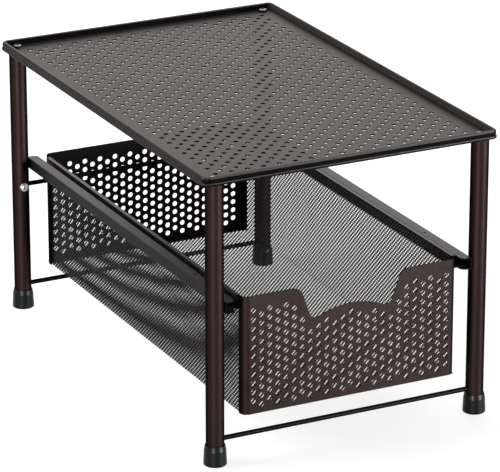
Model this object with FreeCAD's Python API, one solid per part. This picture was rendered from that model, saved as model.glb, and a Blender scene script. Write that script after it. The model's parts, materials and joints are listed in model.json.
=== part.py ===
import FreeCAD, Part
import math
import os

# An organizer for the cupboard under a sink: a perforated tray on four legs, over a sliding mesh drawer.
# Lengths are millimetres. X runs to the right, Y to the back and Z up; the origin is on the floor, midway
# between the legs.

# Tray on top
tray_width = 300.0
tray_depth = 457.0
tray_top_height = 278.8
tray_corner_radius = 7.5
rim_height = 8.5
rim_wall = 3.4
rim_bead_height = 2.8
rim_bead_outset = 0.8
rim_bead_round = 1.2
rim_outer_round = 2.2
rim_inner_round = 1.0
tray_recess_depth = 6.0
tray_sheet = 1.0
tray_hole_diameter = 4.8
tray_hole_column_step = 7.95
tray_hole_row_step = 7.88
tray_hole_border = 16.0

# Legs and feet
leg_spacing_x = 270.3
leg_spacing_y = 436.5
leg_diameter = 17.0
leg_wall = 1.2
foot_height = 19.3
foot_mouth_diameter = 18.8
foot_shoulder_diameter = 20.5
foot_shoulder_height = 4.8
foot_bottom_diameter = 21.8
foot_floor = 3.0
foot_bottom_round = 1.3
foot_lip_round = 0.4
foot_clearance = 0.1

# Threaded plugs in the leg tops and the tray screws in them
plug_length = 20.0
plug_boss_diameter = 13.2
plug_clearance = 0.1
screw_diameter = 5.0
screw_length = 16.0
screw_head_diameter = 8.4
screw_head_height = 2.4
screw_head_round = 1.1
screw_cross_length = 4.4
screw_cross_width = 1.0
screw_cross_depth = 1.0
screw_clearance = 0.15

# Round rods across the frame
rod_diameter = 4.6
rod_past_leg_axis = 3.0
rod_clearance = 0.1
lower_rod_height = 24.0
upper_rod_height = 129.5

# Screws that face inwards on the legs, level with the upper rod
clamp_screw_diameter = 4.0
clamp_head_diameter = 6.8
clamp_head_height = 2.8
clamp_head_round = 1.3
clamp_cross_length = 3.6
clamp_cross_width = 0.9
clamp_cross_depth = 1.0
washer_diameter = 8.8
washer_thickness = 0.9

# Channel rails between the front and back legs
rail_top_height = 156.8
rail_height = 11.0
rail_width = 10.8
rail_sheet = 1.0
rail_front_overhang = 5.2
rail_back_overhang = 2.6
rail_bend_round = 1.4
rail_end_round = 6.0
stop_radius = 3.0
stop_from_front = 78.0
stop_from_web = 7.2

# Drawer
drawer_width = 220.0
drawer_length = 440.0
drawer_height = 114.5
drawer_floor_height = 44.5
drawer_back_gap = 0.5
drawer_sheet = 0.9
drawer_corner_radius = 7.0
front_return = 1.6
back_return = 4.6
drawer_hole_diameter = 5.3
drawer_hole_column_step = 8.28
drawer_hole_row_step = 8.75
drawer_hole_from_top = 14.6
drawer_hole_border = 4.2
drawer_hole_side_border = 0.8

# Wavy hand notch in the drawer front
notch_shoulder_x = 60.0
notch_shoulder_radius = 11.0
notch_dip_x = 36.0
notch_dip_depth = 31.8
notch_dip_radius = 7.0
notch_crest_depth = 24.0

# Mesh sheets of the drawer
mesh_sheet = 1.2
mesh_strand = 2.4
mesh_border = 4.0
side_mesh_columns = 29
side_mesh_rows = 10
floor_mesh_columns = 24
floor_mesh_rows = 12
floor_mesh_corner_radius = 6.0

# Folded bands over the mesh edges and the runners in the rails
band_height = 9.5
band_top_round = 1.3
runner_sheet = 1.0
runner_reach = 14.0
runner_end_gap = 0.4
runner_below_edge = 3.0
runner_ear_width = 6.0
runner_ear_clearance = 0.8

# Overrun of every cut past the face that it enters, and the distance that counts as touching
overrun = 2.0
touch = 0.001

X_AXIS = FreeCAD.Vector(1, 0, 0)
Y_AXIS = FreeCAD.Vector(0, 1, 0)
Z_AXIS = FreeCAD.Vector(0, 0, 1)

# Places that several pieces share
leg_radius = leg_diameter / 2
leg_x = leg_spacing_x / 2
leg_y = leg_spacing_y / 2
leg_top = tray_top_height - rim_height
tray_sheet_top = tray_top_height - tray_recess_depth
tray_sheet_bottom = tray_sheet_top - tray_sheet
tray_inner_width = tray_width - 2 * (rim_bead_outset + rim_wall)
tray_inner_depth = tray_depth - 2 * (rim_bead_outset + rim_wall)
tray_inner_radius = tray_corner_radius - rim_bead_outset - rim_wall
rail_web_x = leg_x - leg_radius
rail_front = -leg_y - rail_front_overhang
rail_back = leg_y + rail_back_overhang
rail_bottom = rail_top_height - rail_height
runner_seat = rail_bottom + rail_sheet
stop_x = rail_web_x - stop_from_web
stop_y = rail_front + stop_from_front
drawer_side_x = drawer_width / 2
drawer_back = leg_y - rod_diameter / 2 - drawer_back_gap
drawer_front = drawer_back - drawer_length
drawer_top = drawer_floor_height + drawer_height
flat_half_width = drawer_side_x - drawer_corner_radius
mesh_outer_x = drawer_side_x - drawer_sheet
mesh_inner_x = mesh_outer_x - mesh_sheet
LEGS = {
    "front_left": (-1, -1),
    "front_right": (1, -1),
    "back_left": (-1, 1),
    "back_right": (1, 1),
}
SIDES = {"left": -1, "right": 1}


def vec(x, y, z):
    return FreeCAD.Vector(x, y, z)


def cylinder(diameter, length, base, axis=Z_AXIS):
    return Part.makeCylinder(diameter / 2, length, base, axis)


def box(x_range, y_range, z_range):
    corner = vec(min(x_range), min(y_range), min(z_range))
    size = [abs(pair[1] - pair[0]) for pair in (x_range, y_range, z_range)]
    return Part.makeBox(size[0], size[1], size[2], corner)


def rounded_slab(width, depth, radius, bottom, top):
    half_x = width / 2
    half_y = depth / 2
    block = box((-half_x, half_x), (-half_y, half_y), (bottom, top))
    upright = [edge for edge in block.Edges if edge.BoundBox.ZLength > (top - bottom) / 2]
    return block.makeFillet(radius, upright)


def edges_at_height(shape, height):
    level = []
    for edge in shape.Edges:
        if abs(edge.BoundBox.ZMin - height) < touch and abs(edge.BoundBox.ZMax - height) < touch:
            level.append(edge)
    return level


def lies_within(edge, half_x, half_y):
    bounds = edge.BoundBox
    reach_x = max(abs(bounds.XMin), abs(bounds.XMax))
    reach_y = max(abs(bounds.YMin), abs(bounds.YMax))
    return reach_x < half_x + touch and reach_y < half_y + touch


def mirrored(shape, side):
    if side > 0:
        return shape
    return shape.mirror(vec(0, 0, 0), X_AXIS)


def holed_sheet(outline, holes, thickness):
    # One flat face with all its openings, given a thickness
    return Part.makeFace([outline] + holes, "Part::FaceMakerBullseye").extrude(Z_AXIS * thickness)


def round_hole(x, y, diameter):
    return Part.Wire([Part.Circle(vec(x, y, 0), Z_AXIS, diameter / 2).toShape()])


def stand_up(shape, y):
    # Turns a sheet drawn flat in X and Y to stand in X and Z, with its inner face at y
    shape.rotate(vec(0, 0, 0), X_AXIS, 90)
    shape.translate(vec(0, y, 0))
    return shape


def steps_within(reach, step):
    # Whole steps that fit on each side of the middle
    return math.floor(reach / step)


def top_panel():
    slab = rounded_slab(tray_inner_width, tray_inner_depth, tray_inner_radius, 0, tray_sheet)
    outline = min(slab.Faces, key=lambda face: face.CenterOfMass.z).OuterWire
    columns = steps_within(tray_inner_width / 2 - tray_hole_border, tray_hole_column_step)
    rows = steps_within(tray_inner_depth / 2 - tray_hole_border, tray_hole_row_step)
    holes = []
    for column in range(-columns, columns + 1):
        for row in range(-rows, rows + 1):
            if (column + row) % 2 == 0:
                x = column * tray_hole_column_step
                holes.append(round_hole(x, row * tray_hole_row_step, tray_hole_diameter))
    for side, end in LEGS.values():
        holes.append(round_hole(side * leg_x, end * leg_y, screw_diameter + 2 * screw_clearance))
    panel = holed_sheet(outline, holes, tray_sheet)
    panel.translate(vec(0, 0, tray_sheet_bottom))
    return panel


def top_rim():
    # An upright wall round the tray, with a rolled bead along its lower edge
    bead_top = leg_top + rim_bead_height
    bead = rounded_slab(tray_width, tray_depth, tray_corner_radius, leg_top, bead_top)
    bead = bead.makeFillet(rim_bead_round, edges_at_height(bead, leg_top) + edges_at_height(bead, bead_top))
    wall_width = tray_width - 2 * rim_bead_outset
    wall_depth = tray_depth - 2 * rim_bead_outset
    wall_radius = tray_corner_radius - rim_bead_outset
    wall = rounded_slab(wall_width, wall_depth, wall_radius, leg_top + rim_bead_round, tray_top_height)
    wall = wall.makeFillet(rim_outer_round, edges_at_height(wall, tray_top_height))
    inside_bottom = leg_top - overrun
    inside_top = tray_top_height + overrun
    inside = rounded_slab(tray_inner_width, tray_inner_depth, tray_inner_radius, inside_bottom, inside_top)
    rim = bead.fuse(wall).cut(inside).removeSplitter()
    lip = []
    for edge in edges_at_height(rim, tray_top_height):
        if lies_within(edge, tray_inner_width / 2, tray_inner_depth / 2):
            lip.append(edge)
    return rim.makeFillet(rim_inner_round, lip)


def leg(side, end):
    x = side * leg_x
    y = end * leg_y
    length = leg_top - foot_floor
    tube = cylinder(leg_diameter, length, vec(x, y, foot_floor))
    bore_bottom = vec(x, y, foot_floor - overrun)
    tube = tube.cut(cylinder(leg_diameter - 2 * leg_wall, length + 2 * overrun, bore_bottom))
    rod_heights = [lower_rod_height]
    if end > 0:
        rod_heights.append(upper_rod_height)
    hole_length = leg_radius + overrun
    for height in rod_heights:
        rod_hole = cylinder(rod_diameter + 2 * rod_clearance, hole_length, vec(x, y, height), X_AXIS * -side)
        tube = tube.cut(rod_hole)
    clamp_hole = clamp_screw_diameter + 2 * screw_clearance
    return tube.cut(cylinder(clamp_hole, hole_length, vec(x, y, upper_rod_height), Y_AXIS * -end))


def foot(side, end):
    # A rubber cup with a sloping shoulder that widens downwards, with the leg standing on its floor
    x = side * leg_x
    y = end * leg_y
    skirt_height = foot_height - foot_shoulder_height
    shoulder_radius = foot_shoulder_diameter / 2
    cup = Part.makeCone(foot_bottom_diameter / 2, shoulder_radius, skirt_height)
    mouth_radius = foot_mouth_diameter / 2
    shoulder = Part.makeCone(shoulder_radius, mouth_radius, foot_shoulder_height, vec(0, 0, skirt_height))
    cup = cup.fuse(shoulder).removeSplitter()
    cup = cup.makeFillet(foot_bottom_round, edges_at_height(cup, 0))
    cup = cup.makeFillet(foot_lip_round, edges_at_height(cup, foot_height))
    socket = cylinder(leg_diameter + 2 * foot_clearance, foot_height, vec(0, 0, foot_floor))
    cup = cup.cut(socket)
    cup.translate(vec(x, y, 0))
    return cup


def pan_screw(shank, head, cross):
    # Drawn upright, with the underside of its head at the origin
    diameter, length = shank
    head_diameter, head_height, head_round = head
    top = cylinder(head_diameter, head_height, vec(0, 0, 0))
    top = top.makeFillet(head_round, edges_at_height(top, head_height))
    screw = top.fuse(cylinder(diameter, length, vec(0, 0, -length))).removeSplitter()
    cross_length, cross_width, cross_depth = cross
    half_length = cross_length / 2
    half_width = cross_width / 2
    recess = (head_height - cross_depth, head_height + overrun)
    screw = screw.cut(box((-half_length, half_length), (-half_width, half_width), recess))
    return screw.cut(box((-half_width, half_width), (-half_length, half_length), recess))


def top_screws():
    shank = (screw_diameter, screw_length)
    head = (screw_head_diameter, screw_head_height, screw_head_round)
    cross = (screw_cross_length, screw_cross_width, screw_cross_depth)
    screws = []
    for side, end in LEGS.values():
        screw = pan_screw(shank, head, cross)
        screw.translate(vec(side * leg_x, end * leg_y, tray_sheet_top))
        screws.append(screw)
    return Part.makeCompound(screws)


def leg_plugs():
    # Each plug fills the top of a leg and carries the tray sheet on its boss
    plugs = []
    for side, end in LEGS.values():
        x = side * leg_x
        y = end * leg_y
        body_diameter = leg_diameter - 2 * (leg_wall + plug_clearance)
        plug = cylinder(body_diameter, plug_length, vec(x, y, leg_top - plug_length))
        plug = plug.fuse(cylinder(plug_boss_diameter, tray_sheet_bottom - leg_top, vec(x, y, leg_top)))
        plug = plug.removeSplitter()
        bore_bottom = vec(x, y, leg_top - plug_length - overrun)
        bore_length = tray_sheet_bottom - leg_top + plug_length + 2 * overrun
        plugs.append(plug.cut(cylinder(screw_diameter + 2 * screw_clearance, bore_length, bore_bottom)))
    return Part.makeCompound(plugs)


def clamp_seat(end):
    # Where the inward face of a leg meets a clamp screw's washer
    return end * (leg_y - leg_radius)


def clamp_screws():
    # Long enough to press on the upper rod's end inside the leg
    shank = (clamp_screw_diameter, leg_radius - rod_diameter / 2 + washer_thickness)
    head = (clamp_head_diameter, clamp_head_height, clamp_head_round)
    cross = (clamp_cross_length, clamp_cross_width, clamp_cross_depth)
    screws = []
    for side, end in LEGS.values():
        screw = pan_screw(shank, head, cross)
        screw.rotate(vec(0, 0, 0), X_AXIS, end * 90)
        screw.translate(vec(side * leg_x, clamp_seat(end) - end * washer_thickness, upper_rod_height))
        screws.append(screw)
    return Part.makeCompound(screws)


def clamp_washers():
    washers = []
    for side, end in LEGS.values():
        seat = vec(side * leg_x, clamp_seat(end), upper_rod_height)
        inward = Y_AXIS * -end
        washer = cylinder(washer_diameter, washer_thickness, seat, inward)
        bore = clamp_screw_diameter + 2 * screw_clearance
        washers.append(washer.cut(cylinder(bore, washer_thickness * 2, seat, inward)))
    return Part.makeCompound(washers)


def cross_rod(y, height):
    end_x = leg_x + rod_past_leg_axis
    return cylinder(rod_diameter, 2 * end_x, vec(-end_x, y, height), X_AXIS)


def rail(side):
    # A channel that opens towards the drawer, with a pressed stop in its top flange
    inner_x = rail_web_x - rail_width
    channel = box((inner_x, rail_web_x), (rail_front, rail_back), (rail_bottom, rail_top_height))
    middle_x = rail_web_x - rail_width / 2
    outer = [edge for edge in channel.Edges if edge.BoundBox.XMin > middle_x]
    bends = [edge for edge in outer if edge.BoundBox.YLength > touch]
    channel = channel.makeFillet(rail_bend_round, bends)
    inner = [edge for edge in channel.Edges if edge.BoundBox.XMax < middle_x]
    corners = [edge for edge in inner if edge.BoundBox.ZLength > touch]
    channel = channel.makeFillet(rail_end_round, corners)
    hollow_x = (inner_x - overrun, rail_web_x - rail_sheet)
    hollow_y = (rail_front - overrun, rail_back + overrun)
    hollow_z = (rail_bottom + rail_sheet, rail_top_height - rail_sheet)
    channel = channel.cut(box(hollow_x, hollow_y, hollow_z))
    centre = vec(stop_x, stop_y, rail_top_height)
    front_half = box(
        (stop_x - 2 * stop_radius, stop_x + 2 * stop_radius),
        (stop_y - 2 * stop_radius, stop_y),
        (rail_bottom, rail_top_height),
    )
    dimple = Part.makeSphere(stop_radius, centre).common(front_half)
    hollow = Part.makeSphere(stop_radius - rail_sheet, centre).common(front_half)
    return mirrored(channel.fuse(dimple).cut(hollow).removeSplitter(), side)


def corner_strip(y, end, straight):
    # The rounded upright edge of a drawer panel and the short flange behind it, on the right
    centre_y = y - end * drawer_corner_radius
    height = drawer_height
    base = vec(flat_half_width, centre_y, drawer_floor_height)
    turn = Part.makeCylinder(drawer_corner_radius, height, base)
    turn = turn.cut(Part.makeCylinder(drawer_corner_radius - drawer_sheet, height, base))
    quarter_x = (flat_half_width, drawer_side_x)
    turn = turn.common(box(quarter_x, (centre_y, y), (drawer_floor_height, drawer_top)))
    flange_y = (centre_y, centre_y - end * straight)
    flange = box((mesh_outer_x, drawer_side_x), flange_y, (drawer_floor_height, drawer_top))
    return turn.fuse(flange)


def panel_holes(outline, top_edges):
    # Staggered round holes, left out where they would come too near the panel's top or bottom edge
    hole_radius = drawer_hole_diameter / 2
    limit = hole_radius + drawer_hole_border
    columns = steps_within(flat_half_width - hole_radius - drawer_hole_side_border, drawer_hole_column_step)
    first_row = drawer_top - drawer_hole_from_top
    rows = steps_within(first_row - drawer_floor_height - limit, drawer_hole_row_step)
    flat = Part.Face(outline)
    edge = Part.makeCompound(top_edges)
    holes = []
    for column in range(-columns, columns + 1):
        x = column * drawer_hole_column_step
        lowered = column % 2 * drawer_hole_row_step / 2
        for row in range(rows + 1):
            centre = vec(x, first_row - lowered - row * drawer_hole_row_step, 0)
            above_bottom = centre.y - drawer_floor_height > limit
            inside = flat.isInside(centre, touch, True)
            if above_bottom and inside and edge.distToShape(Part.Vertex(centre))[0] > limit:
                holes.append(round_hole(x, centre.y, drawer_hole_diameter))
    return holes


def tangent_points(low, low_radius, high, high_radius):
    # Ends of the straight wall between the circles of the dip and the shoulder, which bend opposite ways
    gap_x = high[0] - low[0]
    gap_z = high[1] - low[1]
    distance = math.hypot(gap_x, gap_z)
    turn = math.atan2(gap_z, gap_x) - math.acos((low_radius + high_radius) / distance)
    step = (math.cos(turn), math.sin(turn))
    start = (low[0] + low_radius * step[0], low[1] + low_radius * step[1])
    finish = (high[0] - high_radius * step[0], high[1] - high_radius * step[1])
    return start, finish


def arc_on(centre, radius, start, finish):
    # The shorter arc of a circle between two points on it
    middle_x = (start[0] + finish[0]) / 2 - centre[0]
    middle_z = (start[1] + finish[1]) / 2 - centre[1]
    scale = radius / math.hypot(middle_x, middle_z)
    middle = (centre[0] + middle_x * scale, centre[1] + middle_z * scale)
    return Part.Arc(vec(*start, 0), vec(*middle, 0), vec(*finish, 0)).toShape()


def notch_edges():
    # Half of the wavy edge, from the right shoulder to the crest in the middle
    shoulder = (notch_shoulder_x, drawer_top - notch_shoulder_radius)
    dip = (notch_dip_x, drawer_top - notch_dip_depth + notch_dip_radius)
    crest_z = drawer_top - notch_crest_depth
    dip_above_crest = dip[1] - crest_z
    reach = notch_dip_x ** 2 + dip_above_crest ** 2 - notch_dip_radius ** 2
    crest_radius = reach / (2 * (notch_dip_radius - dip_above_crest))
    crest = (0, crest_z - crest_radius)
    wall_low, wall_high = tangent_points(dip, notch_dip_radius, shoulder, notch_shoulder_radius)
    share = crest_radius / (crest_radius + notch_dip_radius)
    meet = (dip[0] * share, crest[1] + (dip[1] - crest[1]) * share)
    return [
        arc_on(shoulder, notch_shoulder_radius, (notch_shoulder_x, drawer_top), wall_high),
        Part.makeLine(vec(*wall_high, 0), vec(*wall_low, 0)),
        arc_on(dip, notch_dip_radius, wall_low, meet),
        arc_on(crest, crest_radius, meet, (0, crest_z)),
    ]


def flat_outline(top_edges):
    # The flat part of a drawer panel, drawn in X and height, under the given top edge
    bottom_left = vec(-flat_half_width, drawer_floor_height, 0)
    bottom_right = vec(flat_half_width, drawer_floor_height, 0)
    top_left = vec(-flat_half_width, drawer_top, 0)
    top_right = vec(flat_half_width, drawer_top, 0)
    sides = [
        Part.makeLine(top_left, bottom_left),
        Part.makeLine(bottom_left, bottom_right),
        Part.makeLine(bottom_right, top_right),
    ]
    return Part.Wire(Part.__sortEdges__(sides + top_edges))


def drawer_panel(top_edges, outer_y, end, straight):
    outline = flat_outline(top_edges)
    sheet = holed_sheet(outline, panel_holes(outline, top_edges), drawer_sheet)
    inner_y = outer_y - end * drawer_sheet
    sheet = stand_up(sheet, max(outer_y, inner_y))
    strip = corner_strip(outer_y, end, straight)
    return sheet.fuse([strip, mirrored(strip, -1)]).removeSplitter()


def drawer_front_panel():
    right = notch_edges()
    left = [edge.mirror(vec(0, 0, 0), X_AXIS) for edge in right]
    shoulder_right = vec(notch_shoulder_x, drawer_top, 0)
    shoulder_left = vec(-notch_shoulder_x, drawer_top, 0)
    flats = [
        Part.makeLine(vec(flat_half_width, drawer_top, 0), shoulder_right),
        Part.makeLine(shoulder_left, vec(-flat_half_width, drawer_top, 0)),
    ]
    return drawer_panel(right + left + flats, drawer_front, -1, front_return)


def drawer_back_panel():
    straight_top = Part.makeLine(vec(flat_half_width, drawer_top, 0), vec(-flat_half_width, drawer_top, 0))
    return drawer_panel([straight_top], drawer_back, 1, back_return)


def diamond(x, y, width, height):
    corners = [vec(x + width, y, 0), vec(x, y + height, 0), vec(x - width, y, 0), vec(x, y - height, 0)]
    return Part.makePolygon(corners + corners[:1])


def net(outline, length, width, columns, rows):
    # A flat net of staggered diamonds with a plain border, drawn in X and Y about the origin
    step_x = (length - 2 * mesh_border) / (columns + 1 / 2)
    step_y = (width - 2 * mesh_border) / (rows + 1)
    slope = math.hypot(step_x / 2, step_y)
    half_x = step_x / 2 - mesh_strand * slope / (2 * step_y)
    half_y = half_x * step_y / (step_x / 2)
    openings = []
    for row in range(rows):
        y = (row - (rows - 1) / 2) * step_y
        shift = (row % 2 - 1 / 2) * step_x / 2
        for column in range(columns):
            x = (column - (columns - 1) / 2) * step_x + shift
            openings.append(diamond(x, y, half_x, half_y))
    return holed_sheet(outline, openings, mesh_sheet)


def rectangle(length, width):
    half_x = length / 2
    half_y = width / 2
    corners = [
        vec(-half_x, -half_y, 0),
        vec(half_x, -half_y, 0),
        vec(half_x, half_y, 0),
        vec(-half_x, half_y, 0),
    ]
    return Part.makePolygon(corners + corners[:1])


def side_mesh(side):
    # Stands inside the drawer panels' flanges, with its upper edge in the folded band
    front = drawer_front + drawer_corner_radius
    back = drawer_back - drawer_corner_radius
    top = drawer_top - drawer_sheet
    length = back - front
    height = top - drawer_floor_height
    sheet = net(rectangle(length, height), length, height, side_mesh_columns, side_mesh_rows)
    sheet.rotate(vec(0, 0, 0), X_AXIS, 90)
    sheet.rotate(vec(0, 0, 0), Z_AXIS, 90)
    sheet.translate(vec(mesh_inner_x, (front + back) / 2, (drawer_floor_height + top) / 2))
    return mirrored(sheet, side)


def floor_mesh():
    length = drawer_length - 2 * drawer_sheet
    width = 2 * mesh_inner_x
    slab = rounded_slab(length, width, floor_mesh_corner_radius, 0, mesh_sheet)
    outline = min(slab.Faces, key=lambda face: face.CenterOfMass.z).OuterWire
    sheet = net(outline, length, width, floor_mesh_columns, floor_mesh_rows)
    sheet.rotate(vec(0, 0, 0), Z_AXIS, 90)
    sheet.translate(vec(0, (drawer_front + drawer_back) / 2, drawer_floor_height))
    return sheet


def side_band(side):
    # A strip folded over the upper edge of the side mesh, between the two panels' flanges
    front = drawer_front + drawer_corner_radius + front_return
    back = drawer_back - drawer_corner_radius - back_return
    inner_x = mesh_inner_x - drawer_sheet
    bottom = drawer_top - band_height
    strip = box((inner_x, drawer_side_x), (front, back), (bottom, drawer_top))
    upper_edges = edges_at_height(strip, drawer_top)
    long_edges = [edge for edge in upper_edges if edge.BoundBox.YLength > band_height]
    strip = strip.makeFillet(band_top_round, long_edges)
    slot = box(
        (mesh_inner_x, mesh_outer_x),
        (front - overrun, back + overrun),
        (bottom - overrun, drawer_top - drawer_sheet),
    )
    return mirrored(strip.cut(slot), side)


def runner(side):
    # An angle that rests on the rail's lower flange, with an ear at its back end for the stop
    front = drawer_front + drawer_corner_radius + runner_end_gap
    back = drawer_back - drawer_corner_radius - runner_end_gap
    upright_top = drawer_top - runner_below_edge
    upright = box((drawer_side_x, drawer_side_x + runner_sheet), (front, back), (runner_seat, upright_top))
    foot_plate_x = (drawer_side_x, drawer_side_x + runner_reach)
    foot_plate = box(foot_plate_x, (front, back), (runner_seat, runner_seat + runner_sheet))
    ear_x = (stop_x - runner_ear_width / 2, stop_x + runner_ear_width / 2)
    ear_top = rail_top_height - rail_sheet - runner_ear_clearance
    ear = box(ear_x, (back - runner_sheet, back), (runner_seat, ear_top))
    return mirrored(upright.fuse([foot_plate, ear]).removeSplitter(), side)


def build_nodes():
    nodes = {
        "top_panel": top_panel(),
        "top_rim": top_rim(),
        "top_screws": top_screws(),
        "leg_plugs": leg_plugs(),
        "clamp_screws": clamp_screws(),
        "clamp_washers": clamp_washers(),
        "front_lower_rod": cross_rod(-leg_y, lower_rod_height),
        "back_lower_rod": cross_rod(leg_y, lower_rod_height),
        "back_upper_rod": cross_rod(leg_y, upper_rod_height),
        "drawer_front_panel": drawer_front_panel(),
        "drawer_back_panel": drawer_back_panel(),
        "floor_mesh": floor_mesh(),
    }
    for place, (side, end) in LEGS.items():
        nodes["leg_" + place] = leg(side, end)
        nodes["foot_" + place] = foot(side, end)
    for place, side in SIDES.items():
        nodes["rail_" + place] = rail(side)
        nodes["side_mesh_" + place] = side_mesh(side)
        nodes["side_band_" + place] = side_band(side)
        nodes["runner_" + place] = runner(side)
    return nodes


os.makedirs("parts", exist_ok=True)
for name, shape in build_nodes().items():
    shape.exportStep("parts/" + name + ".step")
    print(name, len(shape.Solids), "solids", round(shape.Volume), "mm3, valid:", shape.isValid())
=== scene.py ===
import bpy
import bmesh
import json
import math
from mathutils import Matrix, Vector


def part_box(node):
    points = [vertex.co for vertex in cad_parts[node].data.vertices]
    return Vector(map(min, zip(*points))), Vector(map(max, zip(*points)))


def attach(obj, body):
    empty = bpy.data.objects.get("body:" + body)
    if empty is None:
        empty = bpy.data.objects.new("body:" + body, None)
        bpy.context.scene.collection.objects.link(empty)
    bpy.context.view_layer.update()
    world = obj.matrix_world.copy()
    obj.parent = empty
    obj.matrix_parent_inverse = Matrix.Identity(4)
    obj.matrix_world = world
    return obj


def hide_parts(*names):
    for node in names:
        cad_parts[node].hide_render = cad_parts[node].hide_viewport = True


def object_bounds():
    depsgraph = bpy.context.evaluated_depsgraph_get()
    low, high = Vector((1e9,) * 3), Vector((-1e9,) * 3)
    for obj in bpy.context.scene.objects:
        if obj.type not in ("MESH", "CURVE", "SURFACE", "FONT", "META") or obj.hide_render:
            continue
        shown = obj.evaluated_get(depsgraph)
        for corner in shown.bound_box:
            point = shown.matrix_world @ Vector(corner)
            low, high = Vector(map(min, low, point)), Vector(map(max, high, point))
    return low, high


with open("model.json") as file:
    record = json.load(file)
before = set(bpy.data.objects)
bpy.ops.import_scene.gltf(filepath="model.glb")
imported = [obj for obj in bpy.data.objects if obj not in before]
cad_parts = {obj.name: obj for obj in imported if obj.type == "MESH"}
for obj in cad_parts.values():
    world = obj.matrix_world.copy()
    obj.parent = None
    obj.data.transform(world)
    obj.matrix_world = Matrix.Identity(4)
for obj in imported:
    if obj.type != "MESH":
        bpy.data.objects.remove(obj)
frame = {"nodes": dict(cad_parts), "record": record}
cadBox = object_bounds()
print("frame loaded,", len(frame["nodes"]), "nodes")


# small helpers for whatever stands in the scene
def addObject(name, data):
    thing = bpy.data.objects.new(name, data)
    bpy.context.scene.collection.objects.link(thing)
    return thing


def directionTo(azimuth, elevation):  # unit vector from the object towards a place round it
    a = math.radians(azimuth)
    e = math.radians(elevation)
    return Vector((math.sin(a) * math.cos(e), -math.cos(a) * math.cos(e), math.sin(e)))


def lookFrom(place, thing, target):  # place gives the azimuth, the elevation and the distance from the target
    back = directionTo(place["azimuth"], place["elevation"])
    thing.location = target + back * place["distance"]
    thing.rotation_mode = "QUATERNION"
    thing.rotation_quaternion = (-back).to_track_quat("-Z", "Y")


# camera where the photo was taken
shot = {
    "azimuth": -26.784,            # degrees from the drawer's front, towards its left
    "elevation": 20.424,           # degrees above the floor
    "distance": 3.4352,            # metres from the point it looks at
    "lookAt": (0.01039, 0.0, 0.12312),
    "lens": 257.16,                # millimetres, on the sensor below
    "sensor": 36.0,
    "farthest": 50.0,              # metres, how far it sees
}


def addCamera():
    data = bpy.data.cameras.new("photoCamera")
    data.lens = shot["lens"]
    data.sensor_width = shot["sensor"]
    data.clip_end = shot["farthest"]
    camera = addObject("photoCamera", data)
    lookFrom(shot, camera, Vector(shot["lookAt"]))
    bpy.context.scene.camera = camera


addCamera()
print("camera placed")


# small helpers for node materials
def newMaterial(name):
    material = bpy.data.materials.new(name)
    material.use_nodes = True
    tree = material.node_tree
    shader = tree.nodes["Principled BSDF"]
    return material, tree, shader


def addNode(tree, kind, **settings):
    node = tree.nodes.new(kind)
    for key, value in settings.items():
        setattr(node, key, value)
    return node


def noiseField(tree, scale, detail=3.0, roughness=0.55):  # scale is per metre of the object's own frame
    place = addNode(tree, "ShaderNodeTexCoord")
    noise = addNode(tree, "ShaderNodeTexNoise")
    noise.inputs["Scale"].default_value = scale
    noise.inputs["Detail"].default_value = detail
    noise.inputs["Roughness"].default_value = roughness
    tree.links.new(place.outputs["Object"], noise.inputs["Vector"])
    return noise.outputs["Fac"]


def spread(tree, field, low, high, fromLow=0.3, fromHigh=0.7):  # a field stretched to a range of values
    ranger = addNode(tree, "ShaderNodeMapRange")
    ranger.inputs["From Min"].default_value = fromLow
    ranger.inputs["From Max"].default_value = fromHigh
    ranger.inputs["To Min"].default_value = low
    ranger.inputs["To Max"].default_value = high
    tree.links.new(field, ranger.inputs["Value"])
    return ranger.outputs["Result"]


def blendColours(tree, factor, first, second):  # first and second are colours or sockets
    mixer = addNode(tree, "ShaderNodeMix", data_type="RGBA")
    tree.links.new(factor, mixer.inputs["Factor"])
    for socket, value in ((mixer.inputs["A"], first), (mixer.inputs["B"], second)):
        if isinstance(value, tuple):
            socket.default_value = (*value, 1.0)
        else:
            tree.links.new(value, socket)
    return mixer.outputs["Result"]


def darker(colour, share):
    return tuple(part * share for part in colour)


def addBump(tree, shader, field, height, strength):
    bump = addNode(tree, "ShaderNodeBump")
    bump.inputs["Distance"].default_value = height
    bump.inputs["Strength"].default_value = strength
    tree.links.new(field, bump.inputs["Height"])
    tree.links.new(bump.outputs["Normal"], shader.inputs["Normal"])


# where painted shade on upright walls gives way to the colour of level faces, by the rise of the face's
# normal
walls = {
    "sharp": (0.4, 0.8),     # at punched holes and screw heads
    "folded": (0.2, 0.5),    # along folded and rolled sheet
    "innerAt": 0.12,         # metres from the middle at which a wall that faces it is wholly an inner one and takes the whole painted light
}


def facingUp(tree, change, bothSides=False):  # 1 on level faces, 0 on upright ones
    shape = addNode(tree, "ShaderNodeNewGeometry")
    parts = addNode(tree, "ShaderNodeSeparateXYZ")
    tree.links.new(shape.outputs["True Normal"], parts.inputs["Vector"])
    rise = parts.outputs["Z"]
    if bothSides:
        size = addNode(tree, "ShaderNodeMath", operation="ABSOLUTE")
        tree.links.new(rise, size.inputs[0])
        rise = size.outputs["Value"]
    return spread(tree, rise, 0.0, 1.0, *walls[change])


def facingMiddle(tree):  # 1 on side walls that look towards the middle, 0 on all others
    shape = addNode(tree, "ShaderNodeNewGeometry")
    outward = addNode(tree, "ShaderNodeMath", operation="MULTIPLY")
    for at, output in enumerate(("Position", "True Normal")):
        parts = addNode(tree, "ShaderNodeSeparateXYZ")
        tree.links.new(shape.outputs[output], parts.inputs["Vector"])
        tree.links.new(parts.outputs["X"], outward.inputs[at])
    return spread(tree, outward.outputs["Value"], 0.0, 1.0, 0.0, -walls["innerAt"])
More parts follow.
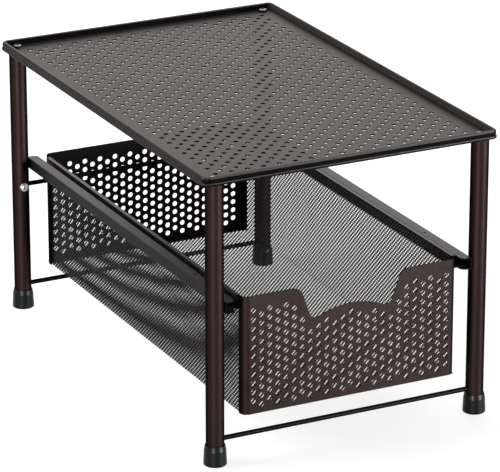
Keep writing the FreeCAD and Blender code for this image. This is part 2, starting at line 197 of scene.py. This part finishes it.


# bronze powder coat: fine speckle from deep to pale, slow cloudiness, orange-peel bump; metal is its share of
# metal flake, edge how bright the flake stays when seen aslant; of the wall shares, the hole one takes deep
# and paints shade on punched hole walls, upright takes pale and paints shade on all upright walls, and inside
# takes pale and paints light on inner side walls
coats = {
    "trayCoat": {"deep": (0.031, 0.025, 0.024), "pale": (0.062, 0.054, 0.052), "rough": (0.38, 0.48),
                 "metal": 0.9, "edge": 0.55, "paintedHoleShade": 0.12},
    "rimCoat": {"deep": (0.030, 0.024, 0.023), "pale": (0.058, 0.050, 0.048), "rough": (0.26, 0.34),
                "metal": 0.9, "edge": 0.55, "upright": 0.25, "inside": 0.95, "specular": 0.03},
    "legCoat": {"deep": (0.0105, 0.0061, 0.0059), "pale": (0.028, 0.0162, 0.0157), "rough": (0.30, 0.40),
                "metal": 0.92, "edge": 0.05},
    "drawerCoat": {"deep": (0.0047, 0.0028, 0.0027), "pale": (0.028, 0.0168, 0.0166), "rough": (0.34, 0.46),
                   "metal": 0.95, "edge": 0.10},
    # painted shade: a much darker copy of drawerCoat, for the drawer's back panel
    "paintedShadeBackCoat": {"deep": (0.0012, 0.0009, 0.0009), "pale": (0.006, 0.0042, 0.0041), "rough": (0.34, 0.46),
                 "metal": 0.95, "edge": 0.10},
    "meshCoat": {"deep": (0.012, 0.011, 0.011), "pale": (0.036, 0.033, 0.032), "rough": (0.34, 0.44),
                 "metal": 0.45, "edge": 0.10},
    "bandCoat": {"deep": (0.024, 0.021, 0.020), "pale": (0.058, 0.052, 0.050), "rough": (0.28, 0.38),
                 "metal": 0.8, "edge": 0.60, "upright": 0.19, "specular": 0.03},
    "railCoat": {"deep": (0.016, 0.014, 0.014), "pale": (0.044, 0.040, 0.039), "rough": (0.36, 0.46),
                 "metal": 0.8, "edge": 0.70, "upright": 0.34, "specular": 0.03},
    "rodCoat": {"deep": (0.0016, 0.0012, 0.0012), "pale": (0.005, 0.0042, 0.0042), "rough": (0.30, 0.40),
                "metal": 0.9, "edge": 0.08},
}
coatGrain = {
    "speckle": 1700.0,               # scales of the three noises, per metre
    "cloud": 14.0,
    "peel": 900.0,
    "speckleChange": (0.34, 0.68),   # part of the speckle's noise that goes from deep to pale
    "cloudShare": 0.35,              # how much of the pale colour the clouds bring
    "peelHeight": 0.00006,           # metres
    "peelStrength": 0.22,
    "specular": 0.10,
}


def paintedWallShading(tree, coat):  # painted shade on a coat's upright walls, painted light on inner side walls that face the middle
    outer = darker(coat["pale"], coat["upright"])
    if "inside" not in coat:
        return outer
    return blendColours(tree, facingMiddle(tree), outer, darker(coat["pale"], coat["inside"]))


def coatMaterial(name):
    coat = coats[name]
    material, tree, shader = newMaterial(name)
    speckle = noiseField(tree, coatGrain["speckle"], detail=2.0, roughness=0.7)
    cloud = noiseField(tree, coatGrain["cloud"], detail=4.0)
    grain = spread(tree, speckle, 0.0, 1.0, *coatGrain["speckleChange"])
    colour = blendColours(tree, grain, coat["deep"], coat["pale"])
    colour = blendColours(tree, spread(tree, cloud, 0.0, coatGrain["cloudShare"]), colour, coat["pale"])
    shader.inputs["Metallic"].default_value = coat["metal"]
    if "paintedHoleShade" in coat:  # painted shade: punched hole walls darkened to a share of deep
        hole = darker(coat["deep"], coat["paintedHoleShade"])
        colour = blendColours(tree, facingUp(tree, "sharp", bothSides=True), hole, colour)
    if "upright" in coat:  # painted shade: upright walls take a darker, matt colour (inner side walls a painted light one), level faces keep the coat's colour and its metal
        level = facingUp(tree, "folded")
        colour = blendColours(tree, level, paintedWallShading(tree, coat), colour)
        tree.links.new(spread(tree, level, 0.0, coat["metal"], 0.0, 1.0), shader.inputs["Metallic"])
    tree.links.new(colour, shader.inputs["Base Color"])
    tree.links.new(spread(tree, speckle, *coat["rough"]), shader.inputs["Roughness"])
    shader.inputs["Specular IOR Level"].default_value = coat.get("specular", coatGrain["specular"])
    shader.inputs["Specular Tint"].default_value = (coat["edge"], coat["edge"], coat["edge"], 1.0)
    peel = noiseField(tree, coatGrain["peel"], detail=2.0)
    addBump(tree, shader, peel, coatGrain["peelHeight"], coatGrain["peelStrength"])
    return material


# zinc plating on the clamp screws and washers, duller steel on the tray's screws with painted shade on their
# heads' sides
platings = {
    "zincPlate": {"dull": (0.42, 0.41, 0.39), "bright": (0.74, 0.73, 0.70), "rough": (0.22, 0.40)},
    "screwSteel": {"dull": (0.10, 0.095, 0.09), "bright": (0.24, 0.23, 0.22), "rough": (0.30, 0.42),
                   "paintedSideShade": 0.08},
}
platingGrain = {"stain": 620.0, "height": 0.00003, "strength": 0.2}  # scale per metre, metres, share


def platedMaterial(name):
    plate = platings[name]
    material, tree, shader = newMaterial(name)
    stain = noiseField(tree, platingGrain["stain"], detail=4.0)
    colour = blendColours(tree, spread(tree, stain, 0.0, 1.0), plate["dull"], plate["bright"])
    if "paintedSideShade" in plate:  # painted shade: the head's sides darkened, its flat top keeps the plating's colour
        side = darker(plate["dull"], plate["paintedSideShade"])
        colour = blendColours(tree, facingUp(tree, "sharp"), side, colour)
    tree.links.new(colour, shader.inputs["Base Color"])
    shader.inputs["Metallic"].default_value = 1.0
    tree.links.new(spread(tree, stain, *plate["rough"]), shader.inputs["Roughness"])
    addBump(tree, shader, stain, platingGrain["height"], platingGrain["strength"])
    return material


# moulded rubber of the feet, moulded plastic of the plugs in the leg tops
mouldings = {
    "footRubber": {"deep": (0.004, 0.004, 0.004), "pale": (0.012, 0.012, 0.012), "rough": (0.30, 0.40),
                   "grit": 1100.0, "gritRoughness": 0.65, "height": 0.00008, "strength": 0.3,
                   "specular": 0.11},
    "plugPlastic": {"deep": (0.012, 0.012, 0.013), "pale": (0.022, 0.022, 0.024), "rough": (0.42, 0.55),
                    "grit": 500.0, "gritRoughness": 0.55, "height": 0.00005, "strength": 0.2,
                    "specular": 0.5},
}


def mouldedMaterial(name):
    mould = mouldings[name]
    material, tree, shader = newMaterial(name)
    grit = noiseField(tree, mould["grit"], roughness=mould["gritRoughness"])
    colour = blendColours(tree, spread(tree, grit, 0.0, 1.0), mould["deep"], mould["pale"])
    tree.links.new(colour, shader.inputs["Base Color"])
    tree.links.new(spread(tree, grit, *mould["rough"]), shader.inputs["Roughness"])
    shader.inputs["Specular IOR Level"].default_value = mould["specular"]
    addBump(tree, shader, grit, mould["height"], mould["strength"])
    return material


finishes = {name: coatMaterial(name) for name in coats}
finishes.update({name: platedMaterial(name) for name in platings})
finishes.update({name: mouldedMaterial(name) for name in mouldings})
print("materials made,", len(finishes))


# which finish each solid gets, by the slot in its record
finishOfSlot = {
    "tray_coat": "trayCoat",
    "rim_coat": "rimCoat",
    "leg_coat": "legCoat",
    "drawer_coat": "drawerCoat",
    "mesh_coat": "meshCoat",
    "band_coat": "bandCoat",
    "rail_coat": "railCoat",
    "rod_coat": "rodCoat",
    "zinc": "zincPlate",
    "foot_rubber": "footRubber",
    "plug_plastic": "plugPlastic",
}
# the drawer's back panel takes a darker copy of the drawer coat, painted shade
finishOfNode = {"top_screws": "screwSteel", "drawer_back_panel": "paintedShadeBackCoat"}  # these differ from their slot


def dressSolids():
    for row in frame["record"]["subparts"]:
        solid = frame["nodes"][row["node"]]
        finish = finishes[finishOfNode.get(row["node"], finishOfSlot[row["material_slot"]])]
        for slot in solid.material_slots:
            slot.material = finish


dressSolids()
print("solids dressed")


# small helpers for new pieces
def joinRings(bm, first, second, smooth):  # a band of faces between two rings of as many points
    for at in range(len(first)):
        after = (at + 1) % len(first)
        face = bm.faces.new((first[at], first[after], second[after], second[at]))
        face.smooth = smooth


def addPiece(name, bm, body, slot, node=None):  # node is the solid that the piece stands for
    bmesh.ops.recalc_face_normals(bm, faces=bm.faces)
    data = bpy.data.meshes.new(name)
    bm.to_mesh(data)
    bm.free()
    data.materials.append(finishes[finishOfSlot[slot]])
    piece = addObject(name, data)
    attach(piece, body)
    if node:
        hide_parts(node)
    print(name, "has", len(data.polygons), "faces")


# edges that the punch turned down under the tray's holes
burr = {
    "columnStep": 0.00795,   # metres between the columns of holes, which are staggered
    "rowStep": 0.00788,
    "border": 0.016,         # least distance from the sheet's edge to a hole's centre
    "radius": 0.0024,        # of the holes
    "thick": 0.0003,
    "height": 0.0002,
    "segments": 16,
}


def addTurnedEdge(bm, centre):  # one short tube that hangs from the sheet's lower face
    inner = burr["radius"]
    outer = inner + burr["thick"]
    rings = []
    for reach, drop in ((inner, 0.0), (inner, burr["height"]), (outer, burr["height"]), (outer, 0.0)):
        ring = []
        for step in range(burr["segments"]):
            turn = 2.0 * math.pi * step / burr["segments"]
            offset = Vector((reach * math.cos(turn), reach * math.sin(turn), -drop))
            ring.append(bm.verts.new(centre + offset))
        rings.append(ring)
    for at, ring in enumerate(rings):
        beyond = rings[(at + 1) % len(rings)]
        joinRings(bm, ring, beyond, smooth=at % 2 == 0)  # its upright walls are smooth, its ends flat


def turnHoles():
    low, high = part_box("top_panel")
    columns = math.floor((high.x - burr["border"]) / burr["columnStep"])
    rows = math.floor((high.y - burr["border"]) / burr["rowStep"])
    bm = bmesh.new()
    for column in range(-columns, columns + 1):
        for row in range(-rows, rows + 1):
            if (column + row) % 2 == 0:
                addTurnedEdge(bm, Vector((column * burr["columnStep"], row * burr["rowStep"], low.z)))
    addPiece("hole_edges", bm, "frame", "tray_coat")


turnHoles()


# fine diamond mesh of the drawer, one bent sheet from side to side
wireMesh = {
    "along": 0.00475,        # diamond's length along the drawer, metres
    "across": 0.0046,        # and across it
    "sideMain": 0.00092,     # half width of the strands that carry the sheet, on its sides and its floor
    "floorMain": 0.00100,
    "sideCross": 0.00076,    # and of those that tie them
    "floorCross": 0.00050,
    "flat": 0.3,             # a strand's thickness as a share of its width
    "facets": 6,             # faces round a strand
    "hem": 0.0080,           # width of the plain strip along the floor's back and front edges
    "hemThick": 0.0008,
}


def addStrand(bm, start, end, normal, reach):  # one straight strand, a slim flattened prism with closed ends
    along = (end - start).normalized()
    across = normal.cross(along)
    rings = []
    for point in (start, end):
        ring = []
        for facet in range(wireMesh["facets"]):
            turn = 2.0 * math.pi * facet / wireMesh["facets"]
            offset = across * math.cos(turn) + normal * math.sin(turn) * wireMesh["flat"]
            ring.append(bm.verts.new(point + offset * reach))
        rings.append(ring)
    joinRings(bm, rings[0], rings[1], smooth=True)
    bm.faces.new(rings[0][::-1])
    bm.faces.new(rings[1])


def strandEnds(way, count, low, high):  # where one diagonal enters and leaves the rectangle low to high
    slope = way * wireMesh["along"] / wireMesh["across"]
    offset = count * wireMesh["along"]
    first = max(low[0], min((low[1] - offset) / slope, (high[1] - offset) / slope))
    last = min(high[0], max((low[1] - offset) / slope, (high[1] - offset) / slope))
    if last - first < wireMesh["sideMain"]:  # too short to be seen
        return None
    return (first, offset + slope * first), (last, offset + slope * last)


def addSlab(bm, low, high):  # one plain box between two corners
    shape = bmesh.ops.create_cube(bm, size=1.0)
    bmesh.ops.scale(bm, vec=high - low, verts=shape["verts"])
    bmesh.ops.translate(bm, vec=(high + low) / 2, verts=shape["verts"])


# low and high are corners on the unfolded sheet, toPoint takes a place on it to the drawer
def buildNet(name, node, part, low, high, mainWay, toPoint, normal, hems=()):
    bm = bmesh.new()
    rise = wireMesh["along"] / wireMesh["across"]
    span = rise * max(abs(low[0]), abs(high[0])) + max(abs(low[1]), abs(high[1]))
    most = math.ceil(span / wireMesh["along"])
    for way in (-1, 1):
        reach = wireMesh[part + ("Main" if way == mainWay else "Cross")]
        for count in range(-most, most + 1):
            ends = strandEnds(way, count, low, high)
            if ends:
                addStrand(bm, toPoint(*ends[0]), toPoint(*ends[1]), normal, reach)
    for hemLow, hemHigh in hems:
        addSlab(bm, hemLow, hemHigh)
    addPiece(name, bm, "drawer", "mesh_coat", node)


def weaveDrawer():
    sideLow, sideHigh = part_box("side_mesh_right")
    floorLow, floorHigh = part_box("floor_mesh")
    half = (sideLow.x + sideHigh.x) / 2
    floorZ = (floorLow.z + floorHigh.z) / 2
    depth = sideHigh.z - floorZ                   # the sheet runs down one side, across and up the other
    thick = Vector((0, 0, wireMesh["hemThick"] / 2))
    hems = []
    for start in (floorLow.y, floorHigh.y - wireMesh["hem"]):
        end = start + wireMesh["hem"]
        hems.append((Vector((-half, start, floorZ)) - thick, Vector((half, end, floorZ)) + thick))
    buildNet("wire_floor", "floor_mesh", "floor", (-half, floorLow.y), (half, floorHigh.y), mainWay=1,
             toPoint=lambda u, v: Vector((u, v, floorZ)), normal=Vector((0, 0, -1)), hems=hems)
    for side, sign in (("right", 1), ("left", -1)):
        first, last = sorted((sign * half, sign * (half + depth)))
        buildNet("wire_side_" + side, "side_mesh_" + side, "side", (first, sideLow.y), (last, sideHigh.y),
                 mainWay=-sign, toPoint=lambda u, v: Vector((sign * half, v, floorZ + sign * u - half)),
                 normal=Vector((sign, 0, 0)))


weaveDrawer()


# folded cap over each mesh side's upper edge: a leg outside the mesh, a level lip towards the rail
cap = {
    "sheet": 0.0009,         # metres
    "leg": 0.0080,
    "cover": 0.0015,         # how far the lip reaches in over the mesh, from the leg's outer face
    "lip": 0.0026,           # and out towards the rail
    "round": 0.0004,         # rounding of the lip's upper edges
    "arcSteps": 4,
}


def capOutline(high):  # right side's section in x and z, counted anticlockwise
    legOuter = high.x
    legInner = high.x - cap["sheet"]
    lipIn = high.x - cap["cover"]
    lipOut = high.x + cap["lip"]
    under = high.z - cap["sheet"]
    bottom = high.z - cap["leg"]
    outline = [(legInner, bottom), (legOuter, bottom), (legOuter, under), (lipOut, under)]
    for centreX, start in ((lipOut - cap["round"], 0.0), (lipIn + cap["round"], math.pi / 2)):
        for step in range(cap["arcSteps"] + 1):
            turn = start + math.pi / 2 * step / cap["arcSteps"]
            x = centreX + cap["round"] * math.cos(turn)
            outline.append((x, high.z - cap["round"] + cap["round"] * math.sin(turn)))
    return outline + [(lipIn, under), (legInner, under)]


def foldCap(side, sign):
    low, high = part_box("side_band_right")
    bm = bmesh.new()
    rings = []
    for y in (low.y, high.y):
        rings.append([bm.verts.new((sign * x, y, z)) for x, z in capOutline(high)])
    joinRings(bm, rings[0], rings[1], smooth=False)
    for ring in rings:
        bm.faces.new(ring)
    addPiece("edge_cap_" + side, bm, "drawer", "band_coat", "side_band_" + side)


foldCap("left", -1)
foldCap("right", 1)


# plain pale floor, soft studio lights
floor = {"size": 14.0, "colour": (0.42, 0.42, 0.42), "glow": 0.84}  # metres, matt share, added light
lamps = {
    "overhead": {"azimuth": 150.0, "elevation": 80.0, "distance": 2.2, "size": (1.4, 1.2), "power": 14.0},
    "backPanel": {"azimuth": 158.0, "elevation": 24.0, "distance": 2.2, "size": (2.1, 1.0), "power": 20.0},
    "leftPanel": {"azimuth": -108.0, "elevation": 28.0, "distance": 2.2, "size": (1.2, 1.0), "power": 30.0},
    "frontTop": {"azimuth": 60.0, "elevation": 50.0, "distance": 2.0, "size": (1.2, 0.9), "power": 14.0,
                 "glossOnly": True},
    "frontStrip": {"azimuth": -42.0, "elevation": 4.0, "distance": 5.0, "size": (0.34, 0.88),
                   "power": 400.0, "glossOnly": True},
    "rightStrip": {"azimuth": 37.0, "elevation": 4.0, "distance": 5.0, "size": (0.34, 0.88),
                   "power": 960.0, "glossOnly": True, "tint": (0.80, 0.98, 1.0)},
}
ambient = {"fill": 0.20, "seen": 1.0}  # the sky's strength where it lights things, and where it is seen


def seenDirectly(tree):  # 1 for the camera, mirror and glass rays, 0 for the rays that light things
    path = addNode(tree, "ShaderNodeLightPath")
    first = addNode(tree, "ShaderNodeMath", operation="MAXIMUM")
    second = addNode(tree, "ShaderNodeMath", operation="MAXIMUM")
    tree.links.new(path.outputs["Is Camera Ray"], first.inputs[0])
    tree.links.new(path.outputs["Is Glossy Ray"], first.inputs[1])
    tree.links.new(first.outputs["Value"], second.inputs[0])
    tree.links.new(path.outputs["Is Transmission Ray"], second.inputs[1])
    return second.outputs["Value"]


def floorMaterial():  # matt, with a glow that keeps it pale and lights nothing
    material, tree = newMaterial("studioFloor")[:2]
    tree.nodes.clear()
    matte = addNode(tree, "ShaderNodeBsdfDiffuse")
    matte.inputs["Color"].default_value = (*floor["colour"], 1.0)
    glow = addNode(tree, "ShaderNodeEmission")
    level = addNode(tree, "ShaderNodeMath", operation="MULTIPLY")
    level.inputs[1].default_value = floor["glow"]
    tree.links.new(seenDirectly(tree), level.inputs[0])
    tree.links.new(level.outputs["Value"], glow.inputs["Strength"])
    both = addNode(tree, "ShaderNodeAddShader")
    tree.links.new(matte.outputs["BSDF"], both.inputs[0])
    tree.links.new(glow.outputs["Emission"], both.inputs[1])
    output = addNode(tree, "ShaderNodeOutputMaterial")
    tree.links.new(both.outputs["Shader"], output.inputs["Surface"])
    return material


def addFloor():
    half = floor["size"] / 2
    corners = [(-half, -half, 0), (half, -half, 0), (half, half, 0), (-half, half, 0)]
    data = bpy.data.meshes.new("studioFloor")
    data.from_pydata(corners, [], [(0, 1, 2, 3)])
    data.materials.append(floorMaterial())
    plane = addObject("studioFloor", data)


def addLamps():
    centre = (cadBox[0] + cadBox[1]) / 2
    for name, lamp in lamps.items():
        data = bpy.data.lights.new(name, "AREA")
        data.shape = "RECTANGLE"
        data.size, data.size_y = lamp["size"]
        data.energy = lamp["power"]
        data.color = lamp.get("tint", (1.0, 1.0, 1.0))
        light = addObject(name, data)
        light.visible_camera = False
        light.visible_diffuse = not lamp.get("glossOnly", False)  # such a lamp only makes highlights
        lookFrom(lamp, light, centre)


def lightWorld():
    world = bpy.data.worlds.new("studioWorld")
    bpy.context.scene.world = world
    world.use_nodes = True
    tree = world.node_tree
    sky = tree.nodes["Background"]
    sky.inputs["Color"].default_value = (1.0, 1.0, 1.0, 1.0)
    strength = spread(tree, seenDirectly(tree), ambient["fill"], ambient["seen"], 0.0, 1.0)
    tree.links.new(strength, sky.inputs["Strength"])


addFloor()
addLamps()
lightWorld()
bpy.context.scene.view_settings.view_transform = "Standard"
print("stage lit")
